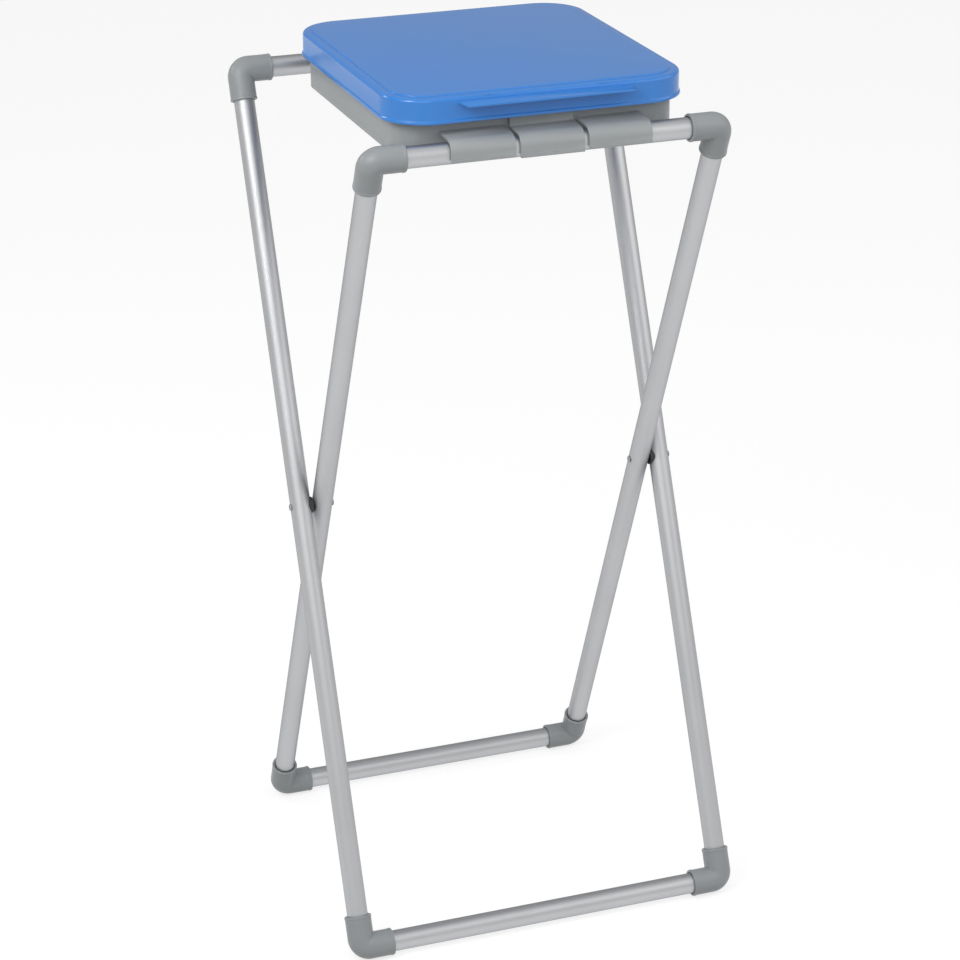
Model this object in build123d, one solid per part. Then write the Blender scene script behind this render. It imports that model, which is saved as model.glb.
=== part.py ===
from build123d import *
import math
import os

# Bin bag holder: a folding scissor stand of round tube with moulded corner elbows. A grey bag ring
# lies on its two top bars, a clamp frame holds the bag's edge on the ring, and a lid closes it.
# Millimetres. X runs along the bars, -Y is the front, +Z is up, and the origin is on the floor under
# the middle of the stand.

# Tube
TUBE_RADIUS = 11.5
TUBE_WALL = 1.2

# Stand: each frame is a closed rectangle that leans, one forwards and one backwards
BAR_RISE = 900.0
BAR_SPREAD = 393.0
OUTER_WIDTH = 431.3
LEG_GAP = 1.8

# Corner elbows
ELBOW_RADIUS = 14.6
ELBOW_BEND = 9.5
SOCKET_REACH = 35.0
SOCKET_STOP = 15.0
SOCKET_CLEARANCE = 0.05
MOUTH_BEAD_OUT = 0.4
MOUTH_BEAD_LENGTH = 3.6
MOUTH_ROUND = 1.0
MOUTH_RECESS_DEPTH = 3.0
MOUTH_RECESS_PLAY = 0.9

# Scissor pivots
RIVET_RADIUS = 3.0
RIVET_CLEARANCE = 0.1
RIVET_HEAD_RADIUS = 6.0
RIVET_HEAD_HEIGHT = 2.2
SPACER_RADIUS = 9.0
PIVOT_PLAY = 0.3

# Bag ring, a wall that runs round the bag's mouth
RING_WIDTH = 308.0
RING_CORNER = 26.0
RING_WALL = 2.5
RING_FRONT_INSET = 24.0
RING_BACK_INSET = 46.0
RING_BELOW_BARS = 8.5
RING_ABOVE_BARS = 30.0

# Hooks over the front top bar and clips round the rear top bar
HOOK_PLATE = 2.5
HOOK_WIDTH = 70.0
HOOK_GAP = 5.0
HOOK_ROOT_HEIGHT = 15.8
HOOK_CREST_HEIGHT = 13.6
HOOK_ROUND = 12.4
HOOK_DROP = 7.0
BAR_PLAY = 0.4
HOOK_LIP_HEIGHT = 3.2
HOOK_LIP_OUT = 0.6
RIB_THICKNESS = 2.0
RIB_INSET = 9.0
CLIP_PLAY = 0.3
CLIP_WALL = 3.2
CLIP_MOUTH = 15.0
CLIP_TURN = 60.0
CLIP_SLOPE_RISE = 1.0

# Clamp frame, which lies on the ring's rim
RIM_PLAY = 0.3
CLAMP_FLANGE = 2.5
CLAMP_OVERHANG = 3.0
CLAMP_BACK_OVERHANG = 1.2
CLAMP_BAND = 13.0
CLAMP_LIP_DEPTH = 9.0
CLAMP_LIP_WALL = 2.0
CLAMP_LIP_PLAY = 1.0
CLAMP_BACK_LIP_PLAY = 5.0
TAB_PLAY = 2.5
TAB_DROP = 9.0
TAB_TOE_DROP = 1.0
TAB_TOP_ROUND = 1.6
TAB_TOE_ROUND = 3.2

# Lid
LID_WIDTH = 328.0
LID_FRONT_INSET = 6.2
LID_BACK_INSET = 33.5
LID_CORNER = 48.0
LID_RIM_HEIGHT = 29.0
LID_TOP_HEIGHT = 57.0
LID_SKIRT_WALL = 2.4
LID_TOP_WALL = 2.2
LID_TOP_ROUND = 4.0
LID_BEAD_HEIGHT = 4.0
LID_BEAD_OUT = 1.3
LID_BORDER = 10.0
LID_PANEL_RISE = 1.5
LID_STOP_X = 62.0
LID_STOP_THICKNESS = 2.0
LID_STOP_REACH = 5.0
LID_STOP_PLAY = 0.3

# Finger ledge on the lid's front edge
LEDGE_WIDTH = 192.0
LEDGE_OUT = 19.0
LEDGE_THICKNESS = 2.2
LEDGE_BELOW_TOP = 6.2
LEDGE_TAPER = 5.0
LEDGE_CORNER = 3.0

# Lid hinge: a rod between two ears on the clamp frame, and a snap-on hook on the lid
HINGE_X = 100.0
HINGE_INSET = 41.5
HINGE_HEIGHT = 30.0
HINGE_ROD_RADIUS = 2.0
HINGE_ROD_CLEARANCE = 0.1
HINGE_EAR_RADIUS = 3.8
HINGE_EAR_WIDTH = 3.5
HINGE_HOOK_WIDTH = 11.0
HINGE_SIDE_PLAY = 0.6
HINGE_NOTCH_PLAY = 1.2
HINGE_NOTCH_HEIGHT = 5.5
HINGE_NECK = 12.0
HINGE_NECK_LAP = 2.8
HINGE_MOUTH = 3.3

# How far a cut runs past the face that it opens, and how much of a wall a rounded edge may take
CUT_PAST = 1.0
ROUND_SHARE = 0.9

# Worked out from the sizes above
BEAD_RADIUS = ELBOW_RADIUS + MOUTH_BEAD_OUT
FOOT_Z = BEAD_RADIUS
TOP_Z = FOOT_Z + BAR_RISE
FRONT_Y = -BAR_SPREAD / 2
BACK_Y = BAR_SPREAD / 2
OUTER_X = OUTER_WIDTH / 2
INNER_X = OUTER_X - 2 * TUBE_RADIUS - LEG_GAP
PIVOT_Z = (FOOT_Z + TOP_Z) / 2
SOCKET_RADIUS = TUBE_RADIUS + SOCKET_CLEARANCE
RIVET_HOLE_RADIUS = RIVET_RADIUS + RIVET_CLEARANCE

RING_FRONT_Y = FRONT_Y + RING_FRONT_INSET
RING_BACK_Y = BACK_Y - RING_BACK_INSET
RING_BOTTOM_Z = TOP_Z - RING_BELOW_BARS
RING_RIM_Z = TOP_Z + RING_ABOVE_BARS

FLANGE_Z = RING_RIM_Z + RIM_PLAY
LID_FRONT_Y = FRONT_Y + LID_FRONT_INSET
LID_BACK_Y = BACK_Y - LID_BACK_INSET
LID_RIM_Z = TOP_Z + LID_RIM_HEIGHT
LID_TOP_Z = TOP_Z + LID_TOP_HEIGHT

HINGE_Y = BACK_Y - HINGE_INSET
HINGE_Z = TOP_Z + HINGE_HEIGHT
HINGE_BORE_RADIUS = HINGE_ROD_RADIUS + HINGE_ROD_CLEARANCE
HOOK_CENTRES = [-(HOOK_WIDTH + HOOK_GAP), HOOK_WIDTH + HOOK_GAP]
HOOK_FRONT = -(TUBE_RADIUS + BAR_PLAY + HOOK_PLATE / 2)
CLIP_CREST = TUBE_RADIUS + CLIP_PLAY + CLIP_WALL - HOOK_PLATE / 2


def outline(width, front_y, back_y, corner):
    """A rounded rectangle seen from above, from its width and its front and back edges."""
    middle = (front_y + back_y) / 2
    return Pos(0, middle) * RectangleRounded(width, back_y - front_y, corner)


def block(width, front_y, back_y, corner, low_z, high_z):
    """A rounded rectangle stood up from low_z to high_z."""
    return extrude(Pos(0, 0, low_z) * outline(width, front_y, back_y, corner), high_z - low_z)


def along_x(face, x, width):
    """A side profile, drawn with Y across and Z up, drawn out along X about its middle."""
    return extrude(Plane.YZ.offset(x - width / 2) * face, width)


def rod(x, y, z, radius, length):
    """A round bar along X, about its middle."""
    return Pos(x, y, z) * Rot(0, 90, 0) * Cylinder(radius, length)


def box_between(low, high):
    """A box from its lowest to its highest corner."""
    size = [b - a for a, b in zip(low, high)]
    return Pos(*low) * Box(*size, align=(Align.MIN, Align.MIN, Align.MIN))


# Tubes and elbows


def tube(start, end):
    """A tube between two corners, as long as leaves its ends on the stops in the elbows' sockets."""
    way = (end - start).normalized()
    plane = Plane(origin=start + way * SOCKET_STOP, z_dir=way)
    length = (end - start).length - 2 * SOCKET_STOP
    ring = Circle(TUBE_RADIUS) - Circle(TUBE_RADIUS - TUBE_WALL)
    return extrude(plane * ring, length)


def socket_sleeve():
    """One arm of an elbow along +X, with a rounded bead round its mouth."""
    bead_start = SOCKET_REACH - MOUTH_BEAD_LENGTH
    arm = Pos(ELBOW_BEND, 0) * Rectangle(
        SOCKET_REACH - MOUTH_ROUND - ELBOW_BEND, ELBOW_RADIUS, align=(Align.MIN, Align.MIN)
    )
    bead = Pos(bead_start, 0) * Rectangle(MOUTH_BEAD_LENGTH, BEAD_RADIUS, align=(Align.MIN, Align.MIN))
    bead = fillet(bead.vertices().group_by(Axis.Y)[-1], MOUTH_ROUND)
    return revolve(arm + bead, Axis.X)


def socket_bore():
    """The hole for a tube in one arm along +X, wider for a short way at its mouth."""
    recess_start = SOCKET_REACH - MOUTH_RECESS_DEPTH
    bore = Pos(SOCKET_STOP, 0) * Rectangle(
        SOCKET_REACH - SOCKET_STOP, SOCKET_RADIUS, align=(Align.MIN, Align.MIN)
    )
    bore += Pos(recess_start, 0) * Rectangle(
        MOUTH_RECESS_DEPTH + CUT_PAST, SOCKET_RADIUS + MOUTH_RECESS_PLAY, align=(Align.MIN, Align.MIN)
    )
    return revolve(bore, Axis.X)


def elbow_at_origin():
    """A corner elbow with arms along +X and +Y. Its outer corner is round and its inner one a crease."""
    kept = Pos(ELBOW_BEND, 0) * Rectangle(
        4 * ELBOW_RADIUS, 4 * ELBOW_RADIUS, align=(Align.MAX, Align.CENTER)
    )
    section = Plane(origin=(ELBOW_BEND, 0, 0), x_dir=(0, 1, 0), z_dir=(1, 0, 0)) * (
        Circle(ELBOW_RADIUS) & kept
    )
    bend_axis = Axis((ELBOW_BEND, ELBOW_BEND, 0), (0, 0, -1))
    body = revolve(section, bend_axis, 90)
    to_second_arm = Rot(180, 0, 0) * Rot(0, 0, -90)
    body += socket_sleeve()
    body += to_second_arm * socket_sleeve()
    body -= socket_bore()
    body -= to_second_arm * socket_bore()
    return body


def elbow(corner, bar_end, leg_end):
    """An elbow at a corner, with one arm along the bar and one along the leg."""
    along_bar = (bar_end - corner).normalized()
    along_leg = (leg_end - corner).normalized()
    plane = Plane(origin=corner, x_dir=along_bar, z_dir=along_bar.cross(along_leg))
    return plane.location * elbow_at_origin()


def frame_nodes(half_width, top_y, names):
    """The four tubes and four elbows of one leaning rectangle, its foot bar opposite its top bar."""
    nodes = {}
    top = {side: Vector(side * half_width, top_y, TOP_Z) for side in (-1, 1)}
    foot = {side: Vector(side * half_width, -top_y, FOOT_Z) for side in (-1, 1)}
    rivet_hole = {
        side: rod(side * half_width, 0, PIVOT_Z, RIVET_HOLE_RADIUS, 4 * TUBE_RADIUS) for side in (-1, 1)
    }
    nodes[names["top_bar"]] = tube(top[-1], top[1])
    nodes[names["foot_bar"]] = tube(foot[-1], foot[1])
    for side, hand in ((-1, "left"), (1, "right")):
        nodes[names["leg"] + "_" + hand] = tube(foot[side], top[side]) - rivet_hole[side]
        nodes[names["top_elbow"] + "_" + hand] = elbow(top[side], top[-side], foot[side])
        nodes[names["foot_elbow"] + "_" + hand] = elbow(foot[side], foot[-side], top[side])
    return nodes


# Scissor pivots


def rivet_head():
    """A domed head that stands up from z = 0."""
    dome = (RIVET_HEAD_RADIUS**2 + RIVET_HEAD_HEIGHT**2) / (2 * RIVET_HEAD_HEIGHT)
    cap = Pos(0, 0, RIVET_HEAD_HEIGHT - dome) * Sphere(dome)
    return cap & Pos(0, 0, RIVET_HEAD_HEIGHT / 2) * Box(
        3 * RIVET_HEAD_RADIUS, 3 * RIVET_HEAD_RADIUS, RIVET_HEAD_HEIGHT
    )


def pivot_rivet(side):
    """A rivet through an outer and an inner leg, tight on the outer one and free on the inner one."""
    outer_end = OUTER_X + TUBE_RADIUS + SOCKET_CLEARANCE
    inner_end = INNER_X - TUBE_RADIUS - PIVOT_PLAY
    shank = rod((outer_end + inner_end) / 2, 0, PIVOT_Z, RIVET_RADIUS, outer_end - inner_end)
    outer_head = Pos(outer_end, 0, PIVOT_Z) * Rot(0, 90, 0) * rivet_head()
    inner_head = Pos(inner_end, 0, PIVOT_Z) * Rot(0, -90, 0) * rivet_head()
    rivet = shank + outer_head + inner_head
    return rivet if side > 0 else mirror(rivet, Plane.YZ)


def pivot_spacer(side):
    """A disc between the two legs, hollowed on one side to sit round the outer leg."""
    flat_x = INNER_X + TUBE_RADIUS + PIVOT_PLAY
    disc = rod((flat_x + OUTER_X) / 2, 0, PIVOT_Z, SPACER_RADIUS, OUTER_X - flat_x)
    lean = math.degrees(math.atan2(BAR_SPREAD, BAR_RISE))
    leg = Pos(OUTER_X, 0, PIVOT_Z) * Rot(-lean, 0, 0) * Cylinder(SOCKET_RADIUS, 6 * SPACER_RADIUS)
    hole = rod(OUTER_X, 0, PIVOT_Z, RIVET_HOLE_RADIUS, 4 * TUBE_RADIUS)
    spacer = disc - leg - hole
    return spacer if side > 0 else mirror(spacer, Plane.YZ)


# Hooks and clips. Their side profiles are drawn about a bar's axis, with the first number the
# distance from the axis towards the ring and the second the height.


def plate(points, rounds):
    """A moulded plate of even thickness along a bent line."""
    return trace(FilletPolyline(*points, radius=rounds), HOOK_PLATE)


def profile_at(face, bar_y, towards_ring):
    """A profile drawn about a bar's axis, moved to that bar and faced to the ring."""
    placed = face if towards_ring > 0 else mirror(face, Plane.YZ)
    return Pos(bar_y, TOP_Z) * placed


def hook_lip(drop):
    """The thicker band along the lower edge of a front hook that reaches drop below the bar's axis."""
    lip = Rectangle(HOOK_PLATE + HOOK_LIP_OUT, HOOK_LIP_HEIGHT, align=(Align.MAX, Align.MIN))
    return Pos(HOOK_FRONT + HOOK_PLATE / 2, -drop) * lip


def rib_profile(inset, foot_height):
    """A stiffening rib between a hook's plate and its bar, back to the ring's wall."""
    outer = make_face(
        Polyline(
            (inset + RING_WALL / 2, HOOK_ROOT_HEIGHT),
            (0, HOOK_CREST_HEIGHT),
            (-TUBE_RADIUS / 2, HOOK_CREST_HEIGHT),
            (-TUBE_RADIUS / 2, foot_height),
            (inset + RING_WALL / 2, foot_height),
            close=True,
        )
    )
    return outer - Circle(TUBE_RADIUS + BAR_PLAY)


def clip_ring():
    """A clip's round part about the rear top bar, open below towards the ring."""
    inner = TUBE_RADIUS + CLIP_PLAY
    opening = Rot(0, 0, -CLIP_TURN) * Pos(inner, 0) * Rectangle(2 * inner, CLIP_MOUTH)
    return Circle(inner + CLIP_WALL) - Circle(inner) - opening


def hook_at(face, bar_y, towards_ring, x, width):
    """A hook of one side profile drawn out along its bar."""
    return along_x(profile_at(face, bar_y, towards_ring), x, width)


def ring_hooks():
    """The ring's two hooks over the front top bar and its two clips round the rear top bar."""
    front_plate = plate(
        [
            (RING_FRONT_INSET + RING_WALL / 2, HOOK_ROOT_HEIGHT),
            (HOOK_FRONT, HOOK_CREST_HEIGHT),
            (HOOK_FRONT, -HOOK_DROP),
        ],
        [HOOK_ROUND],
    )
    front_plate += hook_lip(HOOK_DROP)
    back_plate = plate(
        [
            (RING_BACK_INSET + RING_WALL / 2, HOOK_ROOT_HEIGHT),
            (HOOK_ROUND, CLIP_CREST + CLIP_SLOPE_RISE),
            (0, CLIP_CREST),
        ],
        [2 * HOOK_ROUND],
    )
    back_plate += clip_ring()
    front_rib = rib_profile(RING_FRONT_INSET, TUBE_RADIUS / 2)
    back_rib = make_face(
        Polyline(
            (RING_BACK_INSET + RING_WALL / 2, HOOK_ROOT_HEIGHT),
            (RING_BACK_INSET + RING_WALL / 2, -RING_BELOW_BARS / 2),
            (TUBE_RADIUS, 0),
            (0, CLIP_CREST),
            close=True,
        )
    ) - Circle(TUBE_RADIUS + CLIP_PLAY)
    hooks = []
    for x in HOOK_CENTRES:
        hooks.append(hook_at(front_plate, FRONT_Y, 1, x, HOOK_WIDTH))
        hooks.append(hook_at(back_plate, BACK_Y, -1, x, HOOK_WIDTH))
        for rib_x in (x - HOOK_WIDTH / 2 + RIB_INSET, x + HOOK_WIDTH / 2 - RIB_INSET):
            hooks.append(hook_at(front_rib, FRONT_Y, 1, rib_x, RIB_THICKNESS))
            hooks.append(hook_at(back_rib, BACK_Y, -1, rib_x, RIB_THICKNESS))
    return hooks


def bag_ring():
    """The wall round the bag's mouth, with its hooks and clips."""
    wall = block(RING_WIDTH, RING_FRONT_Y, RING_BACK_Y, RING_CORNER, RING_BOTTOM_Z, RING_RIM_Z)
    ring = wall - block(
        RING_WIDTH - 2 * RING_WALL,
        RING_FRONT_Y + RING_WALL,
        RING_BACK_Y - RING_WALL,
        RING_CORNER - RING_WALL,
        RING_BOTTOM_Z - CUT_PAST,
        RING_RIM_Z + CUT_PAST,
    )
    for hook in ring_hooks():
        ring += hook
    return ring


def clamp_lip():
    """The wall that reaches down from the clamp frame inside the ring's wall."""
    side_inset = RING_WALL + CLAMP_LIP_PLAY
    back_inset = RING_WALL + CLAMP_BACK_LIP_PLAY
    low_z = FLANGE_Z - CLAMP_LIP_DEPTH
    outside = block(
        RING_WIDTH - 2 * side_inset,
        RING_FRONT_Y + side_inset,
        RING_BACK_Y - back_inset,
        RING_CORNER - side_inset,
        low_z,
        FLANGE_Z + CLAMP_FLANGE / 2,
    )
    inside = block(
        RING_WIDTH - 2 * (side_inset + CLAMP_LIP_WALL),
        RING_FRONT_Y + side_inset + CLAMP_LIP_WALL,
        RING_BACK_Y - back_inset - CLAMP_LIP_WALL,
        RING_CORNER - side_inset - CLAMP_LIP_WALL,
        low_z - CUT_PAST,
        FLANGE_Z + CLAMP_FLANGE,
    )
    return outside - inside


def front_tab():
    """The side profile of the tab that steps down in front of the ring and hooks over the bar."""
    flange_height = FLANGE_Z - TOP_Z + CLAMP_FLANGE / 2
    step = RING_FRONT_INSET - TAB_PLAY - HOOK_PLATE / 2
    line = [
        (RING_FRONT_INSET + CLAMP_BAND / 2, flange_height),
        (step, flange_height),
        (step, HOOK_ROOT_HEIGHT - TAB_TOE_DROP),
        (HOOK_FRONT, HOOK_CREST_HEIGHT),
        (HOOK_FRONT, -TAB_DROP),
    ]
    return plate(line, [TAB_TOP_ROUND, TAB_TOE_ROUND, HOOK_ROUND]) + hook_lip(TAB_DROP)


def back_tab():
    """The side profile of the tab that steps down behind the ring and clips round the bar."""
    flange_height = FLANGE_Z - TOP_Z + CLAMP_FLANGE / 2
    step = RING_BACK_INSET - TAB_PLAY - HOOK_PLATE / 2
    line = [
        (RING_BACK_INSET + CLAMP_BAND / 2, flange_height),
        (step, flange_height),
        (step, HOOK_ROOT_HEIGHT - TAB_TOE_DROP),
        (HOOK_ROUND, CLIP_CREST + CLIP_SLOPE_RISE),
        (0, CLIP_CREST),
    ]
    return plate(line, [TAB_TOP_ROUND, TAB_TOE_ROUND, 2 * HOOK_ROUND]) + clip_ring()


def hinge_notch(x):
    """The cut in the clamp frame's rear edge that a lid hook turns in."""
    half = HINGE_HOOK_WIDTH / 2 + HINGE_SIDE_PLAY
    return box_between(
        (x - half, HINGE_Y - HINGE_EAR_RADIUS - HINGE_NOTCH_PLAY, FLANGE_Z - CUT_PAST),
        (x + half, HINGE_Y + HINGE_EAR_RADIUS, FLANGE_Z + CLAMP_FLANGE + CUT_PAST),
    )


def hinge_rod(x):
    """A hinge rod and the two ears that carry it at the clamp frame's rear edge."""
    ear_x = HINGE_HOOK_WIDTH / 2 + HINGE_SIDE_PLAY + HINGE_EAR_WIDTH / 2
    pivot = rod(x, HINGE_Y, HINGE_Z, HINGE_ROD_RADIUS, 2 * ear_x)
    for middle in (x - ear_x, x + ear_x):
        pivot += rod(middle, HINGE_Y, HINGE_Z, HINGE_EAR_RADIUS, HINGE_EAR_WIDTH)
        pivot += box_between(
            (middle - HINGE_EAR_WIDTH / 2, RING_BACK_Y - RING_WALL, FLANGE_Z),
            (middle + HINGE_EAR_WIDTH / 2, HINGE_Y, HINGE_Z + HINGE_EAR_RADIUS),
        )
    return pivot


def clamp_frame():
    """A flat frame on the ring's rim with a lip inside it, a front tab, a rear tab and hinge rods."""
    frame = block(
        RING_WIDTH + 2 * CLAMP_OVERHANG,
        RING_FRONT_Y - CLAMP_OVERHANG,
        RING_BACK_Y + CLAMP_BACK_OVERHANG,
        RING_CORNER + CLAMP_OVERHANG,
        FLANGE_Z,
        FLANGE_Z + CLAMP_FLANGE,
    )
    frame -= block(
        RING_WIDTH - 2 * CLAMP_BAND,
        RING_FRONT_Y + CLAMP_BAND,
        RING_BACK_Y - CLAMP_BAND,
        RING_CORNER - CLAMP_BAND / 2,
        FLANGE_Z - CUT_PAST,
        FLANGE_Z + CLAMP_FLANGE + CUT_PAST,
    )
    frame += clamp_lip()
    frame += hook_at(front_tab(), FRONT_Y, 1, 0, HOOK_WIDTH)
    frame += hook_at(back_tab(), BACK_Y, -1, 0, HOOK_WIDTH)
    for x in (-HINGE_X, HINGE_X):
        frame -= hinge_notch(x)
        frame += hinge_rod(x)
    return frame


# Lid


def finger_ledge():
    """The flat ledge along the lid's front edge that fingers lift it by."""
    root = LID_FRONT_Y + LID_SKIRT_WALL / 2
    tip = LID_FRONT_Y - LEDGE_OUT
    half = LEDGE_WIDTH / 2
    plan = make_face(
        Polyline(
            (-half, root), (-half + LEDGE_TAPER, tip), (half - LEDGE_TAPER, tip), (half, root), close=True
        )
    )
    top_z = LID_TOP_Z - LEDGE_BELOW_TOP
    ledge = extrude(Pos(0, 0, top_z - LEDGE_THICKNESS) * plan, LEDGE_THICKNESS)
    upright = ledge.edges().filter_by(Axis.Z).group_by(Axis.Y)[0]
    return fillet(upright, LEDGE_CORNER)


def lid_hinge_hook(x):
    """A hook under the lid's rear edge that snaps down over a hinge rod."""
    low = x - HINGE_HOOK_WIDTH / 2
    high = x + HINGE_HOOK_WIDTH / 2
    barrel = rod(x, HINGE_Y, HINGE_Z, HINGE_EAR_RADIUS, HINGE_HOOK_WIDTH)
    neck = box_between(
        (low, HINGE_Y - HINGE_NECK_LAP, HINGE_Z),
        (high, LID_BACK_Y - LID_SKIRT_WALL / 2, HINGE_Z + HINGE_NECK),
    )
    bore = rod(x, HINGE_Y, HINGE_Z, HINGE_BORE_RADIUS, 2 * HINGE_HOOK_WIDTH)
    mouth = box_between(
        (low - CUT_PAST, HINGE_Y - HINGE_MOUTH / 2, HINGE_Z - 2 * HINGE_EAR_RADIUS),
        (high + CUT_PAST, HINGE_Y + HINGE_MOUTH / 2, HINGE_Z),
    )
    return barrel + neck - bore - mouth


def lid_stop(x):
    """A web inside the lid's front wall that rests on the clamp frame when the lid is shut."""
    foot_z = FLANGE_Z + CLAMP_FLANGE + LID_STOP_PLAY
    head_z = LID_TOP_Z - LID_PANEL_RISE - LID_TOP_WALL / 2
    return box_between(
        (x - LID_STOP_THICKNESS / 2, LID_FRONT_Y + LID_SKIRT_WALL / 2, foot_z),
        (x + LID_STOP_THICKNESS / 2, RING_FRONT_Y + LID_STOP_REACH, head_z),
    )


def lid():
    """A shallow moulded cover with a raised panel, a beaded rim, a finger ledge and hinge hooks."""
    shoulder_z = LID_TOP_Z - LID_PANEL_RISE
    body = block(LID_WIDTH, LID_FRONT_Y, LID_BACK_Y, LID_CORNER, LID_RIM_Z, shoulder_z)
    body = fillet(body.edges().group_by(Axis.Z)[-1], LID_TOP_ROUND)
    bead = block(
        LID_WIDTH + 2 * LID_BEAD_OUT,
        LID_FRONT_Y - LID_BEAD_OUT,
        LID_BACK_Y + LID_BEAD_OUT,
        LID_CORNER + LID_BEAD_OUT,
        LID_RIM_Z,
        LID_RIM_Z + LID_BEAD_HEIGHT,
    )
    bead = chamfer(bead.edges().group_by(Axis.Z)[-1], LID_BEAD_OUT)
    panel = block(
        LID_WIDTH - 2 * LID_BORDER,
        LID_FRONT_Y + LID_BORDER,
        LID_BACK_Y - LID_BORDER,
        LID_CORNER - LID_BORDER,
        shoulder_z - LID_TOP_WALL / 2,
        LID_TOP_Z,
    )
    panel = fillet(panel.edges().group_by(Axis.Z)[-1], ROUND_SHARE * LID_PANEL_RISE)
    under_inset = LID_BORDER + LID_TOP_WALL
    under_panel = block(
        LID_WIDTH - 2 * under_inset,
        LID_FRONT_Y + under_inset,
        LID_BACK_Y - under_inset,
        LID_CORNER - under_inset,
        shoulder_z - 2 * LID_TOP_WALL,
        LID_TOP_Z - LID_TOP_WALL,
    )
    hollow = block(
        LID_WIDTH - 2 * LID_SKIRT_WALL,
        LID_FRONT_Y + LID_SKIRT_WALL,
        LID_BACK_Y - LID_SKIRT_WALL,
        LID_CORNER - LID_SKIRT_WALL,
        LID_RIM_Z - CUT_PAST,
        shoulder_z - LID_TOP_WALL,
    )
    hollow = fillet(hollow.edges().group_by(Axis.Z)[-1], LID_TOP_ROUND - LID_SKIRT_WALL)
    cover = body + bead + panel - hollow - under_panel
    notch_top = HINGE_Z + HINGE_NOTCH_HEIGHT
    hinge_half = HINGE_HOOK_WIDTH / 2 + HINGE_SIDE_PLAY + HINGE_EAR_WIDTH + HINGE_NOTCH_PLAY
    notches = [(0, HOOK_WIDTH / 2 + HINGE_NOTCH_PLAY), (-HINGE_X, hinge_half), (HINGE_X, hinge_half)]
    for x, half in notches:
        cover -= box_between(
            (x - half, LID_BACK_Y - 2 * LID_SKIRT_WALL, LID_RIM_Z - CUT_PAST),
            (x + half, LID_BACK_Y + 2 * LID_BEAD_OUT, notch_top),
        )
    for x in (-HINGE_X, HINGE_X):
        cover += lid_hinge_hook(x)
    for x in (-LID_STOP_X, LID_STOP_X):
        cover += lid_stop(x)
    return cover + finger_ledge()


nodes = {}
nodes.update(
    frame_nodes(
        OUTER_X,
        BACK_Y,
        {
            "top_bar": "rear_top_bar",
            "foot_bar": "front_foot_bar",
            "leg": "outer_leg",
            "top_elbow": "elbow_rear_top",
            "foot_elbow": "elbow_front_foot",
        },
    )
)
nodes.update(
    frame_nodes(
        INNER_X,
        FRONT_Y,
        {
            "top_bar": "front_top_bar",
            "foot_bar": "rear_foot_bar",
            "leg": "inner_leg",
            "top_elbow": "elbow_front_top",
            "foot_elbow": "elbow_rear_foot",
        },
    )
)
for side, hand in ((-1, "left"), (1, "right")):
    nodes["pivot_rivet_" + hand] = pivot_rivet(side)
    nodes["pivot_spacer_" + hand] = pivot_spacer(side)
nodes["bag_ring"] = bag_ring()
nodes["clamp_frame"] = clamp_frame()
nodes["lid"] = lid()

os.makedirs("parts", exist_ok=True)
for name, shape in nodes.items():
    export_step(shape, "parts/" + name + ".step")
    print(name, round(shape.volume), shape.is_valid)
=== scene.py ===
# %% [markdown]
# # A folding bin bag holder
# The object is a scissor stand of satin aluminium tube with moulded grey elbows. A grey ring lies on its
# two top bars and holds a bin bag's mouth open, a clamp frame keeps the bag's edge on the ring, and a
# glossy blue lid closes it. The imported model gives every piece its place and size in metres, with +Z up
# and the front towards -Y. This file gives the pieces their finish, the light, the floor and the camera.

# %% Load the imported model
import math

import bmesh
import bpy
from mathutils import Matrix, Vector


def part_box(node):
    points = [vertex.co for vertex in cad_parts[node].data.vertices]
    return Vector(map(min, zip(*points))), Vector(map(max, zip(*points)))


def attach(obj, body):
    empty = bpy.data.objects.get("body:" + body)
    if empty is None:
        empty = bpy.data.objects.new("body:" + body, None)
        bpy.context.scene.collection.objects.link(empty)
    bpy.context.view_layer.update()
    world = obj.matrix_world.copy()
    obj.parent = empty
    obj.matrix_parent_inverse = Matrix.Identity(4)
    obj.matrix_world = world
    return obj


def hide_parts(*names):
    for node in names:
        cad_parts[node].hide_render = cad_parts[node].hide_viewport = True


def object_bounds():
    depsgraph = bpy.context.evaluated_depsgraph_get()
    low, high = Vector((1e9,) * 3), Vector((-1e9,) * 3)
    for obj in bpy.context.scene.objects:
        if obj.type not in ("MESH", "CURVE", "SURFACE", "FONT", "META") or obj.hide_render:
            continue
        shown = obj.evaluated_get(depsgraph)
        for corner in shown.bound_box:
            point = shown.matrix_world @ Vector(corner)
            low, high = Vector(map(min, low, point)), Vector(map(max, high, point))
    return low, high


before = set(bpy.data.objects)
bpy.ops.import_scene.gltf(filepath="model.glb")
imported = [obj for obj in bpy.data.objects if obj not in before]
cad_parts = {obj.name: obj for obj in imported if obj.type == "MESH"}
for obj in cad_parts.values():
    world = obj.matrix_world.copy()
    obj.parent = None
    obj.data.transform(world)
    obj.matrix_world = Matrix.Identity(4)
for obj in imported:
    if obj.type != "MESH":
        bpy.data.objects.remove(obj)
cad_low, cad_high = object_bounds()
MM = 0.001
print("nodes", len(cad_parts), "size in mm", [round(v / MM, 1) for v in cad_high - cad_low])

# %% [markdown]
# ## The camera
# A long lens from the front and a little to the left, looking down on the lid. The camera stands about
# 3.4 metres away, so that parallel legs look nearly parallel. It is turned by its three axes, because
# aiming it at a point would lose its slight tilt to one side. The image is shifted down against the
# lens, which brings the middle of the object near the middle of the image.

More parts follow.
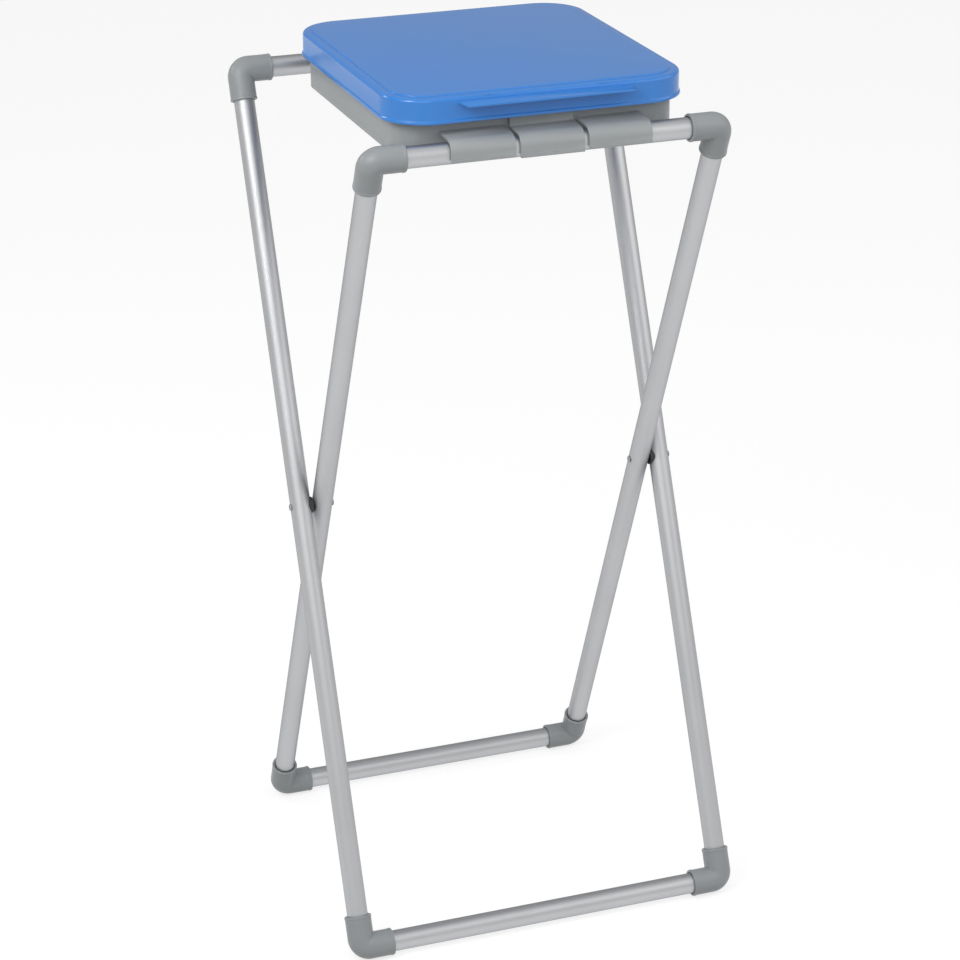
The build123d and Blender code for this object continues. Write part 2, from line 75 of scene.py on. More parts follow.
# %% Set up the camera
CAMERA_PLACE = Vector((-1.0666, -2.9165, 1.7609))
CAMERA_AZIMUTH = math.radians(-20.03)
CAMERA_ELEVATION = math.radians(20.50)
CAMERA_ROLL = math.radians(-0.16)
SENSOR_WIDTH = 36.0
FOCAL_LENGTH_IN_IMAGES = 3.092
SHIFT_UP_IN_IMAGES = -0.1161

back = Vector(
    (
        math.sin(CAMERA_AZIMUTH) * math.cos(CAMERA_ELEVATION),
        -math.cos(CAMERA_AZIMUTH) * math.cos(CAMERA_ELEVATION),
        math.sin(CAMERA_ELEVATION),
    )
)
level_right = Vector((0, 0, 1)).cross(back).normalized()
level_up = back.cross(level_right)
right = math.cos(CAMERA_ROLL) * level_right + math.sin(CAMERA_ROLL) * level_up
up = math.cos(CAMERA_ROLL) * level_up - math.sin(CAMERA_ROLL) * level_right

camera_data = bpy.data.cameras.new("camera")
camera_data.sensor_width = SENSOR_WIDTH
camera_data.lens = FOCAL_LENGTH_IN_IMAGES * SENSOR_WIDTH
camera_data.shift_y = SHIFT_UP_IN_IMAGES
camera = bpy.data.objects.new("camera", camera_data)
camera.matrix_world = Matrix.Translation(CAMERA_PLACE) @ Matrix((right, up, back)).transposed().to_4x4()
bpy.context.scene.collection.objects.link(camera)
bpy.context.scene.camera = camera
camera_distance = (CAMERA_PLACE - (cad_low + cad_high) / 2).length
print("lens", round(camera_data.lens, 1), "mm, distance", round(camera_distance, 2), "m")

# %% [markdown]
# ## Helpers for materials
# Colours are written as they look on a screen and turned to linear light by one function. Another adds
# a node, sets its properties, and fills each input with a value or with a link from another node.

# %% Colour and node helpers


def linear(hex_colour):
    """An sRGB hex colour as linear light with full alpha, by the sRGB formula."""
    parts = [int(hex_colour[i : i + 2], 16) / 255 for i in (1, 3, 5)]
    return [v / 12.92 if v <= 0.04045 else ((v + 0.055) / 1.055) ** 2.4 for v in parts] + [1.0]


def add_node(tree, kind, inputs=None, **settings):
    """A new node with its settings, and each named input set to a value or linked to a socket."""
    node = tree.nodes.new(kind)
    for name, value in settings.items():
        setattr(node, name, value)
    for key, value in (inputs or {}).items():
        if isinstance(value, bpy.types.NodeSocket):
            tree.links.new(value, node.inputs[key])
        else:
            node.inputs[key].default_value = value
    return node


def new_material(name, colour, metallic, roughness, ior=None):
    """A material with its Principled shader set, and its tree and shader to build on."""
    material = bpy.data.materials.new(name)
    material.use_nodes = True
    shader = material.node_tree.nodes["Principled BSDF"]
    shader.inputs["Base Color"].default_value = linear(colour)
    shader.inputs["Metallic"].default_value = metallic
    shader.inputs["Roughness"].default_value = roughness
    if ior is not None:
        shader.inputs["IOR"].default_value = ior
    return material, material.node_tree, shader


def dress(node_names, material):
    """Gives a finish to CAD nodes, whose meshes stay as they are."""
    for name in node_names:
        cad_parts[name].material_slots[0].material = material
    print(material.name, "on", ", ".join(node_names))


print("mid grey in linear light", round(linear("#808080")[0], 3))

# %% [markdown]
# ## Satin aluminium
# The tubes are drawn aluminium, anodised to a satin silver. Drawing leaves hair-fine lines along them,
# and the etch before anodising makes them shine softly, so a lamp shows as a broad stripe and not as a
# point. The lines are stretched noise in each tube's own place, which the tree below stores on the mesh
# with Z along the tube, so one material serves tubes that lean every way. They are drawn coarser than
# real ones, which would be too fine to show. The tone changes faintly over some centimetres as well.

# %% Satin aluminium
DRAW_LINE = 1.0 * MM
DRAW_LENGTH = 220 * MM
TONE_PATCH = 90 * MM
TUBE_DARK = "#bbbcbe"
TUBE_LIGHT = "#c6c7c9"
EDGE_TINT = "#c4c5c7"
TUBE_SMOOTHEST = 0.4
TUBE_ROUGHEST = 0.52
LINE_DEPTH = 0.04 * MM
LINE_STRENGTH = 0.15

aluminium, metal_tree, metal_shader = new_material(
    "satin_anodised_aluminium", TUBE_LIGHT, metallic=1.0, roughness=TUBE_ROUGHEST
)
metal_shader.inputs["Specular Tint"].default_value = linear(EDGE_TINT)
along_tube = add_node(metal_tree, "ShaderNodeAttribute", attribute_name="along_tube").outputs["Vector"]
drawn = add_node(
    metal_tree,
    "ShaderNodeMapping",
    {"Vector": along_tube, "Scale": (1 / DRAW_LINE, 1 / DRAW_LINE, 1 / DRAW_LENGTH)},
)
lines = add_node(metal_tree, "ShaderNodeTexNoise", {"Vector": drawn.outputs[0], "Scale": 1.0, "Detail": 3.0})
patches = add_node(
    metal_tree, "ShaderNodeTexNoise", {"Vector": along_tube, "Scale": 1 / TONE_PATCH, "Detail": 2.0}
)
metal_tone = add_node(
    metal_tree,
    "ShaderNodeMix",
    {"Factor": patches.outputs["Fac"], "A": linear(TUBE_DARK), "B": linear(TUBE_LIGHT)},
    data_type="RGBA",
)
metal_rough = add_node(
    metal_tree,
    "ShaderNodeMapRange",
    {"Value": lines.outputs["Fac"], "To Min": TUBE_SMOOTHEST, "To Max": TUBE_ROUGHEST},
)
metal_bump = add_node(
    metal_tree,
    "ShaderNodeBump",
    {"Height": lines.outputs["Fac"], "Strength": LINE_STRENGTH, "Distance": LINE_DEPTH},
)
metal_tree.links.new(metal_tone.outputs["Result"], metal_shader.inputs["Base Color"])
metal_tree.links.new(metal_rough.outputs[0], metal_shader.inputs["Roughness"])
metal_tree.links.new(metal_bump.outputs["Normal"], metal_shader.inputs["Normal"])
print("draw lines every", round(DRAW_LINE / MM, 2), "mm and", round(DRAW_LENGTH / MM), "mm long")

# %% [markdown]
# ## Geometry Nodes helpers
# A tree is made once, with named inputs, and then used by as many pieces as need it. A modifier knows
# its inputs by their identifiers, so the helper finds each one by its name. The result is turned into
# a plain mesh, because later steps need real vertices and not a recipe.

# %% Geometry Nodes helpers
SHARP_CORNER = math.radians(40)


def new_tree(name, inputs):
    """A Geometry Nodes tree with named inputs. Gives the tree, its input sockets and its output node."""
    tree = bpy.data.node_groups.new(name, "GeometryNodeTree")
    tree.interface.new_socket("Geometry", in_out="OUTPUT", socket_type="NodeSocketGeometry")
    for label, kind in inputs.items():
        tree.interface.new_socket(label, in_out="INPUT", socket_type="NodeSocket" + kind)
    return tree, tree.nodes.new("NodeGroupInput").outputs, tree.nodes.new("NodeGroupOutput")


def smooth_but_corners(tree, geometry):
    """Smooth faces, with each edge that turns by more than SHARP_CORNER left sharp."""
    turn_angle = add_node(tree, "GeometryNodeInputMeshEdgeAngle").outputs["Unsigned Angle"]
    is_sharp = add_node(
        tree, "FunctionNodeCompare", {"A": turn_angle, "B": SHARP_CORNER}, operation="GREATER_THAN"
    )
    smooth = add_node(tree, "GeometryNodeSetShadeSmooth", {"Geometry": geometry}, domain="FACE")
    edged = add_node(
        tree,
        "GeometryNodeSetShadeSmooth",
        {"Geometry": smooth.outputs[0], "Selection": is_sharp.outputs[0], "Shade Smooth": False},
        domain="EDGE",
    )
    return edged.outputs[0]


def make_plain(piece, modifier):
    """Turns a piece with its one modifier into a plain mesh."""
    view = bpy.context.evaluated_depsgraph_get()
    mesh = bpy.data.meshes.new_from_object(
        piece.evaluated_get(view), preserve_all_data_layers=True, depsgraph=view
    )
    piece.modifiers.remove(modifier)
    piece.data = mesh


def grow(name, tree, settings):
    """A plain mesh object that a tree makes from its settings."""
    piece = bpy.data.objects.new(name, bpy.data.meshes.new(name + "_seed"))
    bpy.context.scene.collection.objects.link(piece)
    modifier = piece.modifiers.new("shape", "NODES")
    modifier.node_group = tree
    for socket in tree.interface.items_tree:
        if socket.in_out == "INPUT":
            modifier[socket.identifier] = settings[socket.name]
    make_plain(piece, modifier)
    return piece


print("corners over", round(math.degrees(SHARP_CORNER)), "degrees stay sharp")

# %% [markdown]
# ## Tubes
# A tube is one rule: a wall swept round a circle, as long as the way between two points, turned to lie
# along it. So one tree makes all eight. The wall's section is a rectangle as long as the tube, which is
# swept round the circle. The holes for the rivets lie under their heads and the spacers, so these tubes
# leave them out.

# %% The tree for a tube
TUBE_INPUTS = {
    "Start": "Vector",
    "End": "Vector",
    "Outer Radius": "Float",
    "Wall": "Float",
    "Segments": "Int",
    "Finish": "Material",
}
tube_tree, tube_in, tube_out = new_tree("tube_between_two_points", TUBE_INPUTS)
two_ends = {0: tube_in["End"], 1: tube_in["Start"]}
way = add_node(tube_tree, "ShaderNodeVectorMath", two_ends, operation="SUBTRACT")
length = add_node(tube_tree, "ShaderNodeVectorMath", {0: way.outputs[0]}, operation="LENGTH")
half_wall = add_node(tube_tree, "ShaderNodeMath", {0: tube_in["Wall"], 1: 0.5}, operation="MULTIPLY")
wall_middle = add_node(
    tube_tree, "ShaderNodeMath", {0: tube_in["Outer Radius"], 1: half_wall.outputs[0]}, operation="SUBTRACT"
)
circle = add_node(
    tube_tree,
    "GeometryNodeCurvePrimitiveCircle",
    {"Resolution": tube_in["Segments"], "Radius": wall_middle.outputs[0]},
)
upright = add_node(tube_tree, "GeometryNodeSetCurveNormal", {"Curve": circle.outputs["Curve"]}, mode="Z_UP")
section = add_node(
    tube_tree,
    "GeometryNodeCurvePrimitiveQuadrilateral",
    {"Width": tube_in["Wall"], "Height": length.outputs["Value"]},
)
swept = add_node(
    tube_tree,
    "GeometryNodeCurveToMesh",
    {"Curve": upright.outputs["Curve"], "Profile Curve": section.outputs["Curve"]},
)
print("a tube's wall is swept by", len(tube_tree.nodes), "nodes so far")

# %% [markdown]
# Before the tube is turned, its own place is stored for the draw lines, shifted by its start so that no
# two tubes look the same.

# %% Store its own place and lay it between its ends
own_place = add_node(tube_tree, "GeometryNodeInputPosition").outputs[0]
shifted = add_node(tube_tree, "ShaderNodeVectorMath", {0: own_place, 1: tube_in["Start"]}, operation="ADD")
stored = add_node(
    tube_tree,
    "GeometryNodeStoreNamedAttribute",
    {
        "Geometry": smooth_but_corners(tube_tree, swept.outputs["Mesh"]),
        "Name": "along_tube",
        "Value": shifted.outputs[0],
    },
    data_type="FLOAT_VECTOR",
)
ends_sum = add_node(tube_tree, "ShaderNodeVectorMath", two_ends, operation="ADD")
middle = add_node(
    tube_tree, "ShaderNodeVectorMath", {0: ends_sum.outputs[0], "Scale": 0.5}, operation="SCALE"
)
turn = add_node(tube_tree, "FunctionNodeAlignRotationToVector", {"Vector": way.outputs[0]}, axis="Z")
placed = add_node(
    tube_tree,
    "GeometryNodeTransform",
    {"Geometry": stored.outputs[0], "Translation": middle.outputs[0], "Rotation": turn.outputs[0]},
)
real = add_node(tube_tree, "GeometryNodeRealizeInstances", {"Geometry": placed.outputs[0]})
finished = add_node(
    tube_tree, "GeometryNodeSetMaterial", {"Geometry": real.outputs[0], "Material": tube_in["Finish"]}
)
tube_tree.links.new(finished.outputs[0], tube_out.inputs["Geometry"])
print("tube tree of", len(tube_tree.nodes), "nodes")

# %% [markdown]
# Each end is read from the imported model: a bar's box gives its axis, and a leg's box its distance from
# the middle. A leg runs from corner to corner and stops short in the elbows' sockets, as the bars do.

# %% Lay the eight tubes
TUBE_WALL = 1.2 * MM
TUBE_SEGMENTS = 96


def centre(node_name):
    """The middle of a CAD node's box."""
    low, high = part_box(node_name)
    return (Vector(low) + Vector(high)) / 2


def lay_tube(node_name, body, start, end, radius):
    """A tube that replaces a CAD node of the same place and size."""
    settings = {
        "Start": start,
        "End": end,
        "Outer Radius": radius,
        "Wall": TUBE_WALL,
        "Segments": TUBE_SEGMENTS,
        "Finish": aluminium,
    }
    tube = grow(node_name + "_satin", tube_tree, settings)
    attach(tube, body)
    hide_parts(node_name)
    print(tube.name, round((end - start).length / MM, 1), "mm long,", len(tube.data.polygons), "faces")


leaning_frames = (
    ("outer_frame", "outer_leg", "rear_top_bar", "front_foot_bar"),
    ("inner_frame", "inner_leg", "front_top_bar", "rear_foot_bar"),
)
for body, leg, top_bar, foot_bar in leaning_frames:
    bar_low, bar_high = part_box(top_bar)
    tube_radius = (bar_high[2] - bar_low[2]) / 2
    half_width = centre(leg + "_right").x
    stop = half_width - bar_high[0]
    for bar in (top_bar, foot_bar):
        reach = Vector((half_width - stop, 0, 0))
        lay_tube(bar, body, centre(bar) - reach, centre(bar) + reach, tube_radius)
    for side, hand in ((-1, "left"), (1, "right")):
        out = Vector((side * half_width, 0, 0))
        foot, top = centre(foot_bar) + out, centre(top_bar) + out
        slope = (top - foot).normalized()
        lay_tube(leg + "_" + hand, body, foot + slope * stop, top - slope * stop, tube_radius)

# %% [markdown]
# ## Moulded grey polypropylene
# Elbows, ring and clamp frame are injection-moulded polypropylene in a cool, nearly neutral grey. The
# tool's surface is lightly etched, which gives a soft, wide highlight and no mirror image. The grain is
# drawn coarser than a real one, which would be too fine to show. Faint patches of tone, a few
# centimetres wide, stand for the way in which the plastic flowed into the tool.

# %% Moulded plastics
GRAIN = 1.3 * MM
GRAIN_STRENGTH = 0.2
FLOW_PATCH = 35 * MM
POLYPROPYLENE_IOR = 1.49


def etch(tree, shader, place, depth):
    """A fine grain on a moulding, as a bump of the given depth."""
    grain = add_node(tree, "ShaderNodeTexNoise", {"Vector": place, "Scale": 1 / GRAIN, "Detail": 2.0})
    bump = add_node(
        tree,
        "ShaderNodeBump",
        {"Height": grain.outputs["Fac"], "Strength": GRAIN_STRENGTH, "Distance": depth},
    )
    tree.links.new(bump.outputs["Normal"], shader.inputs["Normal"])


def moulded_plastic(name, colour, dark_colour, roughness, grain_depth):
    """Injection-moulded plastic with an etched grain and faint flow patches."""
    material, tree, shader = new_material(
        name, colour, metallic=0.0, roughness=roughness, ior=POLYPROPYLENE_IOR
    )
    place = add_node(tree, "ShaderNodeTexCoord").outputs["Object"]
    flow = add_node(tree, "ShaderNodeTexNoise", {"Vector": place, "Scale": 1 / FLOW_PATCH, "Detail": 3.0})
    tone = add_node(
        tree,
        "ShaderNodeMix",
        {"Factor": flow.outputs["Fac"], "A": linear(dark_colour), "B": linear(colour)},
        data_type="RGBA",
    )
    tree.links.new(tone.outputs["Result"], shader.inputs["Base Color"])
    etch(tree, shader, place, grain_depth)
    return material


elbow_plastic = moulded_plastic(
    "etched_grey_polypropylene", "#919597", "#8a8e90", roughness=0.36, grain_depth=0.06 * MM
)
ring_plastic = moulded_plastic(
    "smooth_grey_polypropylene", "#9a9e9f", "#939798", roughness=0.38, grain_depth=0.03 * MM
)
dress([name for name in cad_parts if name.startswith("elbow")], elbow_plastic)

# %% [markdown]
# ## Rounded edges
# No moulding has a knife edge. Its edges are rounded by half a millimetre or so, and that thin round is
# what catches the light along a hook or a ledge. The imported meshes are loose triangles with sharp
# edges, so a copy is merged, its flat areas are joined again to whole faces, and a bevel rounds what is
# still sharp. The copy replaces the CAD node that it came from.

# %% Round the edges of the mouldings
FLAT_WITHIN = math.radians(0.4)
ROUND_FROM = math.radians(38)
ROUND_SEGMENTS = 2
MERGE_WITHIN = 0.002 * MM
RING_ROUND = 0.45 * MM


def rounded_copy(node_name, body, radius, material):
    """A copy of a CAD node with its sharp edges rounded, which replaces the node."""
    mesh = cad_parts[node_name].data.copy()
    shell = bmesh.new()
    shell.from_mesh(mesh)
    bmesh.ops.remove_doubles(shell, verts=shell.verts, dist=MERGE_WITHIN)
    bmesh.ops.dissolve_limit(
        shell, angle_limit=FLAT_WITHIN, use_dissolve_boundaries=False, verts=shell.verts, edges=shell.edges
    )
    for face in shell.faces:
        face.smooth = True
        face.material_index = 0
    shell.to_mesh(mesh)
    shell.free()
    mesh.materials.clear()
    mesh.materials.append(material)
    piece = bpy.data.objects.new(node_name + "_moulded", mesh)
    bpy.context.scene.collection.objects.link(piece)
    edge = piece.modifiers.new("edge", "BEVEL")
    edge.width = radius
    edge.segments = ROUND_SEGMENTS
    edge.limit_method = "ANGLE"
    edge.angle_limit = ROUND_FROM
    edge.use_clamp_overlap = False
    edge.harden_normals = True
    make_plain(piece, edge)
    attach(piece, body)
    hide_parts(node_name)
    print(piece.name, len(piece.data.polygons), "faces")


rounded_copy("bag_ring", "ring", RING_ROUND, ring_plastic)
rounded_copy("clamp_frame", "clamp", RING_ROUND, ring_plastic)

# %% [markdown]
# ## Glossy blue lid
# The lid is polypropylene too, moulded in a polished tool, so it mirrors the lamps. A polished moulding
# is never quite flat: here its wall waves by about a tenth of a millimetre over some centimetres, which
# bends what it mirrors.

# %% Lid
WAVE = 45 * MM
WAVE_DEPTH = 0.4 * MM
WAVE_STRENGTH = 0.5
LID_ROUND = 0.4 * MM

lid_plastic, lid_tree, lid_shader = new_material(
    "polished_blue_polypropylene", "#357dcb", metallic=0.0, roughness=0.1, ior=POLYPROPYLENE_IOR
)
lid_place = add_node(lid_tree, "ShaderNodeTexCoord").outputs["Object"]
waves = add_node(lid_tree, "ShaderNodeTexNoise", {"Vector": lid_place, "Scale": 1 / WAVE, "Detail": 1.0})
lid_bump = add_node(
    lid_tree,
    "ShaderNodeBump",
    {"Height": waves.outputs["Fac"], "Strength": WAVE_STRENGTH, "Distance": WAVE_DEPTH},
)
lid_tree.links.new(lid_bump.outputs["Normal"], lid_shader.inputs["Normal"])
rounded_copy("lid", "cover", LID_ROUND, lid_plastic)

# %% [markdown]
# ## Rivets
# A zinc-plated steel rivet joins the legs at each side, with a small domed head outside and another
# inside. Four equal heads and two equal shanks are what instances are for, so one tree puts a head on
# each of four points and a shank on each of two. A head is a ball whose lower half is pressed flat, scaled
# to the head's radius and height.

# %% A rivet's head and shank
RIVET_INPUTS = {
    "Outer Seat": "Float",
    "Inner Seat": "Float",
    "Pivot Height": "Float",
    "Head Radius": "Float",
    "Head Height": "Float",
    "Shank Radius": "Float",
    "Finish": "Material",
}
HEAD_SEGMENTS = 40
rivet_tree, rivet_in, rivet_out = new_tree("pair_of_rivets", RIVET_INPUTS)
ball = add_node(
    rivet_tree,
    "GeometryNodeMeshUVSphere",
    {"Segments": HEAD_SEGMENTS, "Rings": HEAD_SEGMENTS // 2, "Radius": 1.0},
)
ball_place = add_node(rivet_tree, "GeometryNodeInputPosition")
ball_axes = add_node(rivet_tree, "ShaderNodeSeparateXYZ", {0: ball_place.outputs[0]})
flat_side = add_node(rivet_tree, "ShaderNodeMath", {0: ball_axes.outputs["Z"], 1: 0.0}, operation="MAXIMUM")
dome_place = add_node(
    rivet_tree,
    "ShaderNodeCombineXYZ",
    {"X": ball_axes.outputs["X"], "Y": ball_axes.outputs["Y"], "Z": flat_side.outputs[0]},
)
dome = add_node(
    rivet_tree,
    "GeometryNodeSetPosition",
    {"Geometry": ball.outputs["Mesh"], "Position": dome_place.outputs[0]},
)
head_size = add_node(
    rivet_tree,
    "ShaderNodeCombineXYZ",
    {"X": rivet_in["Head Radius"], "Y": rivet_in["Head Radius"], "Z": rivet_in["Head Height"]},
)
head = add_node(
    rivet_tree, "GeometryNodeTransform", {"Geometry": dome.outputs[0], "Scale": head_size.outputs[0]}
)
two_seats = {0: rivet_in["Outer Seat"], 1: rivet_in["Inner Seat"]}
grip = add_node(rivet_tree, "ShaderNodeMath", two_seats, operation="SUBTRACT")
shank = add_node(
    rivet_tree,
    "GeometryNodeMeshCylinder",
    {"Vertices": HEAD_SEGMENTS, "Radius": rivet_in["Shank Radius"], "Depth": grip.outputs[0]},
)
print("head and shank from", len(rivet_tree.nodes), "nodes")

# %% [markdown]
# The two rivets are mirror images, so each part goes on a pair of points at plus and minus the same
# distance, turned by the points' own side to face out or in.

# %% Set heads and shanks in pairs


def mirrored_pair(tree, distance, height, shape, facing):
    """Copies of a shape at plus and minus a distance along X, turned to face out (1) or in (-1)."""
    left = add_node(tree, "ShaderNodeMath", {0: distance, 1: -1.0}, operation="MULTIPLY").outputs[0]
    ends = [
        add_node(tree, "ShaderNodeCombineXYZ", {"X": x, "Z": height}).outputs[0] for x in (left, distance)
    ]
    points = add_node(
        tree,
        "GeometryNodeMeshLine",
        {"Count": 2, "Start Location": ends[0], "Offset": ends[1]},
        mode="END_POINTS",
    )
    place = add_node(tree, "GeometryNodeInputPosition").outputs[0]
    sideways = add_node(tree, "ShaderNodeVectorMath", {0: place, 1: (facing, 0, 0)}, operation="MULTIPLY")
    turned = add_node(tree, "FunctionNodeAlignRotationToVector", {"Vector": sideways.outputs[0]}, axis="Z")
    copies = add_node(
        tree,
        "GeometryNodeInstanceOnPoints",
        {"Points": points.outputs[0], "Instance": shape, "Rotation": turned.outputs[0]},
    )
    return copies.outputs[0]


seat_sum = add_node(rivet_tree, "ShaderNodeMath", two_seats, operation="ADD")
shank_middle = add_node(rivet_tree, "ShaderNodeMath", {0: seat_sum.outputs[0], 1: 0.5}, operation="MULTIPLY")
pivot_height = rivet_in["Pivot Height"]
rivets_joined = add_node(rivet_tree, "GeometryNodeJoinGeometry")
for copies in (
    mirrored_pair(rivet_tree, rivet_in["Outer Seat"], pivot_height, head.outputs[0], 1),
    mirrored_pair(rivet_tree, rivet_in["Inner Seat"], pivot_height, head.outputs[0], -1),
    mirrored_pair(rivet_tree, shank_middle.outputs[0], pivot_height, shank.outputs["Mesh"], 1),
):
    rivet_tree.links.new(copies, rivets_joined.inputs[0])
rivets_real = add_node(rivet_tree, "GeometryNodeRealizeInstances", {"Geometry": rivets_joined.outputs[0]})
rivets_finished = add_node(
    rivet_tree,
    "GeometryNodeSetMaterial",
    {"Geometry": smooth_but_corners(rivet_tree, rivets_real.outputs[0]), "Material": rivet_in["Finish"]},
)
rivet_tree.links.new(rivets_finished.outputs[0], rivet_out.inputs["Geometry"])
print("rivet tree of", len(rivet_tree.nodes), "nodes")

# %% [markdown]
# Zinc plating is darker than the tube and shines a little more, and its gloss varies in faint blotches
# that come from the bath.

# %% Set the rivets
BLOTCH = 2.5 * MM
ZINC_SMOOTHEST = 0.3
ZINC_ROUGHEST = 0.5
RIVET_HEAD_RADIUS = 4.0 * MM
RIVET_HEAD_HEIGHT = 1.8 * MM
RIVET_SHANK_RADIUS = 3.0 * MM
INNER_HEAD_GAP = 0.3 * MM

zinc, zinc_tree, zinc_shader = new_material(
    "zinc_plated_steel", "#9fa1a4", metallic=1.0, roughness=ZINC_ROUGHEST
)
zinc_place = add_node(zinc_tree, "ShaderNodeTexCoord").outputs["Object"]
bath = add_node(zinc_tree, "ShaderNodeTexNoise", {"Vector": zinc_place, "Scale": 1 / BLOTCH, "Detail": 3.0})
zinc_rough = add_node(
    zinc_tree,
    "ShaderNodeMapRange",
    {"Value": bath.outputs["Fac"], "To Min": ZINC_SMOOTHEST, "To Max": ZINC_ROUGHEST},
)
zinc_tree.links.new(zinc_rough.outputs[0], zinc_shader.inputs["Roughness"])

rivets = grow(
    "pivot_rivets",
    rivet_tree,
    {
        "Outer Seat": centre("outer_leg_right").x + tube_radius,
        "Inner Seat": centre("inner_leg_right").x - tube_radius - INNER_HEAD_GAP,
        "Pivot Height": centre("pivot_rivet_right").z,
        "Head Radius": RIVET_HEAD_RADIUS,
        "Head Height": RIVET_HEAD_HEIGHT,
        "Shank Radius": RIVET_SHANK_RADIUS,
        "Finish": zinc,
    },
)
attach(rivets, "outer_frame")
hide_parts("pivot_rivet_left", "pivot_rivet_right")
print("rivets span", round(2 * max(vertex.co.x for vertex in rivets.data.vertices) / MM, 1), "mm")

# %% [markdown]
# The spacers between the legs are moulded nylon, black and half matt. They keep their CAD shape and get
# an etched grain like that of the elbows.

# %% Dress the spacers
NYLON_IOR = 1.53
NYLON_GRAIN_DEPTH = 0.05 * MM
nylon, nylon_tree, nylon_shader = new_material(
    "black_nylon", "#26282a", metallic=0.0, roughness=0.5, ior=NYLON_IOR
)
nylon_place = add_node(nylon_tree, "ShaderNodeTexCoord").outputs["Object"]
etch(nylon_tree, nylon_shader, nylon_place, NYLON_GRAIN_DEPTH)
dress(["pivot_spacer_left", "pivot_spacer_right"], nylon)

# %% [markdown]
# ## Floor and light
# A plain pale floor, and the soft light of a studio: five lamps and a pale room all round. Together they
# light a surface at about full level, so a colour looks as it is written.

# %% Floor
FLOOR_HALF = 14.0
FLOOR_PAINT = "#c0c0bf"
floor_mesh = bpy.data.meshes.new("floor")
corners = [(x * FLOOR_HALF, y * FLOOR_HALF, 0) for x, y in ((-1, -1), (1, -1), (1, 1), (-1, 1))]
floor_mesh.from_pydata(corners, [], [(0, 1, 2, 3)])
floor = bpy.data.objects.new("floor", floor_mesh)
bpy.context.scene.collection.objects.link(floor)
floor_paint, floor_tree, floor_shader = new_material(
    "pale_studio_floor", FLOOR_PAINT, metallic=0.0, roughness=0.8
)
floor_mesh.materials.append(floor_paint)
print("floor of", 2 * FLOOR_HALF, "m")

# %% [markdown]
# A white floor would need more light than the object should have. So the floor glows, but only where
# the camera, a reflection or a view through something clear looks at it, and its paint is darker there,
# so that glow and light together make white. The light that bounces from it to the object stays as it
# was, and so does the object's shadow.

# %% The floor's glow
FLOOR_GLOW = 0.74
FLOOR_PAINT_SEEN = "#959595"
light_path = add_node(floor_tree, "ShaderNodeLightPath").outputs
seen = add_node(
    floor_tree,
    "ShaderNodeMath",
    {0: light_path["Is Camera Ray"], 1: light_path["Is Glossy Ray"]},
    operation="ADD",
)
seen_at_all = add_node(
    floor_tree,
    "ShaderNodeMath",
    {0: seen.outputs[0], 1: light_path["Is Transmission Ray"]},
    operation="ADD",
    use_clamp=True,
)
glow = add_node(
    floor_tree, "ShaderNodeMath", {0: seen_at_all.outputs[0], 1: FLOOR_GLOW}, operation="MULTIPLY"
)
paint = add_node(
    floor_tree,
    "ShaderNodeMix",
    {"Factor": seen_at_all.outputs[0], "A": linear(FLOOR_PAINT), "B": linear(FLOOR_PAINT_SEEN)},
    data_type="RGBA",
)
floor_shader.inputs["Emission Color"].default_value = linear("#ffffff")
floor_tree.links.new(glow.outputs[0], floor_shader.inputs["Emission Strength"])
floor_tree.links.new(paint.outputs["Result"], floor_shader.inputs["Base Color"])
print("floor glow of", FLOOR_GLOW)

# %% [markdown]
# The wide key lamp stands to the left of the camera, where its reflection runs down the front of the legs
# that lean back. The legs that lean forwards mirror the floor instead. A small bright lamp within the key
# makes the crisp highlights on the lid's corner, a side lamp lights the right edge of each tube, a lamp
# above lights the lid's top, and a rim lamp behind on the left lights the left sides. Angles are in
# degrees, with 0 in front and negative to the left, and lengths are in metres.

# %% Lamps
LIT_PLACE = Vector((0, 0, 0.9))


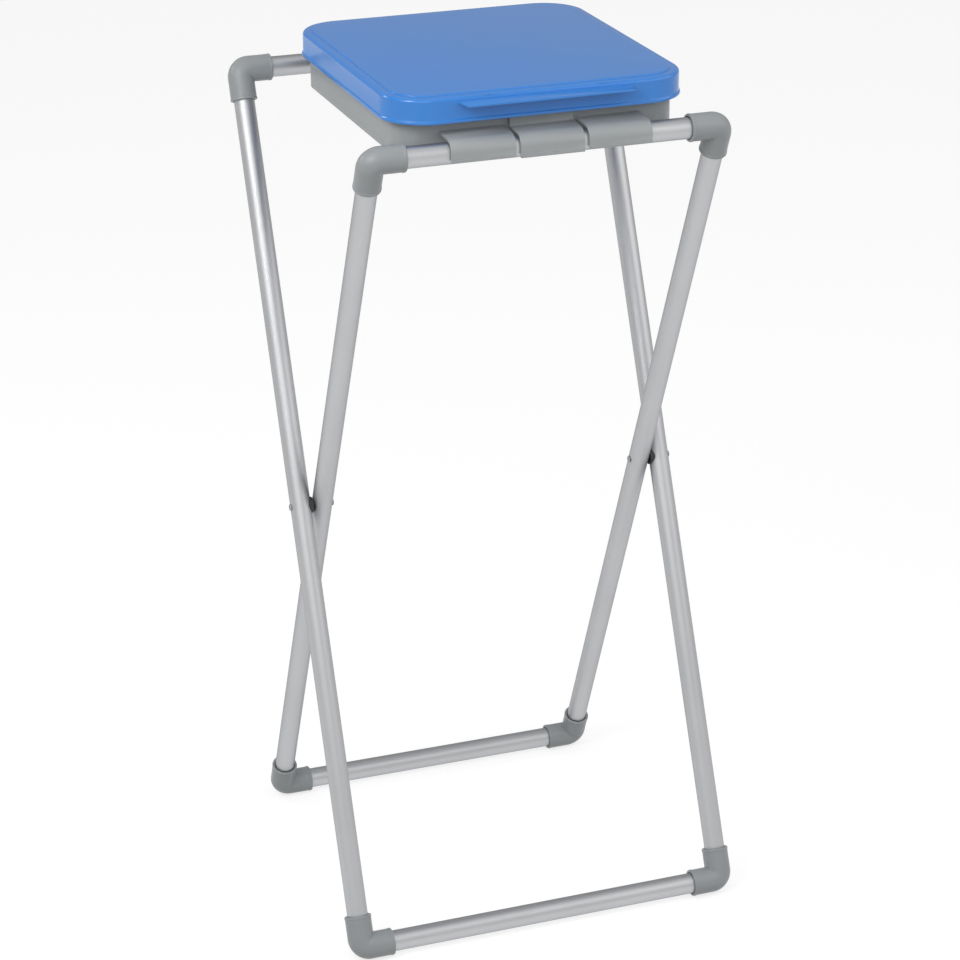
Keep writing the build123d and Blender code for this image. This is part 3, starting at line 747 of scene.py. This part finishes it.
def soft_lamp(name, azimuth, elevation, distance, width, height, watts):
    """A rectangular lamp that faces the stand's upper part. Prints about what it gives there, in W/m2."""
    data = bpy.data.lights.new(name, "AREA")
    data.shape = "RECTANGLE"
    data.size = width
    data.size_y = height
    data.energy = watts
    lamp = bpy.data.objects.new(name, data)
    turned, raised = math.radians(azimuth), math.radians(elevation)
    way_out = Vector(
        (math.sin(turned) * math.cos(raised), -math.cos(turned) * math.cos(raised), math.sin(raised))
    )
    facing = way_out.to_track_quat("Z", "Y").to_matrix().to_4x4()
    lamp.matrix_world = Matrix.Translation(LIT_PLACE + way_out * distance) @ facing
    bpy.context.scene.collection.objects.link(lamp)
    print(name, "at", [round(v, 2) for v in lamp.location], "gives", round(watts / math.pi / distance**2, 2))


soft_lamp("key_lamp", azimuth=-44, elevation=32, distance=2.3, width=3.4, height=1.8, watts=21)
soft_lamp("key_core", azimuth=-56, elevation=35, distance=2.1, width=0.6, height=0.6, watts=11)
soft_lamp("side_lamp", azimuth=56, elevation=25, distance=2.5, width=3.0, height=1.8, watts=18)
soft_lamp("top_lamp", azimuth=0, elevation=82, distance=2.2, width=2.0, height=2.0, watts=4.5)
soft_lamp("rim_lamp", azimuth=-128, elevation=24, distance=2.6, width=0.5, height=0.7, watts=8)

# %% [markdown]
# The room is a little darker behind the object than in front of it. That is what gives a tube its grey
# edges, because a surface seen at a glancing angle mirrors what lies behind it. The level changes evenly
# with the Y of the direction that is looked in, between the two limits below.

# %% Room light
ROOM_FRONT = 0.62
ROOM_BACK = 0.42
FRONT_UP_TO = -0.7
BACK_FROM = 0.9
world = bpy.data.worlds.new("studio_room")
world.use_nodes = True
room = world.node_tree.nodes["Background"]
room.inputs["Color"].default_value = linear("#ffffff")
look = add_node(world.node_tree, "ShaderNodeTexCoord").outputs["Generated"]
look_axes = add_node(world.node_tree, "ShaderNodeSeparateXYZ", {0: look})
room_level = add_node(
    world.node_tree,
    "ShaderNodeMapRange",
    {
        "Value": look_axes.outputs["Y"],
        "From Min": FRONT_UP_TO,
        "From Max": BACK_FROM,
        "To Min": ROOM_FRONT,
        "To Max": ROOM_BACK,
    },
)
world.node_tree.links.new(room_level.outputs[0], room.inputs["Strength"])
bpy.context.scene.world = world
bpy.context.scene.view_settings.view_transform = "Standard"
print("room light from", ROOM_FRONT, "in front to", ROOM_BACK, "behind")
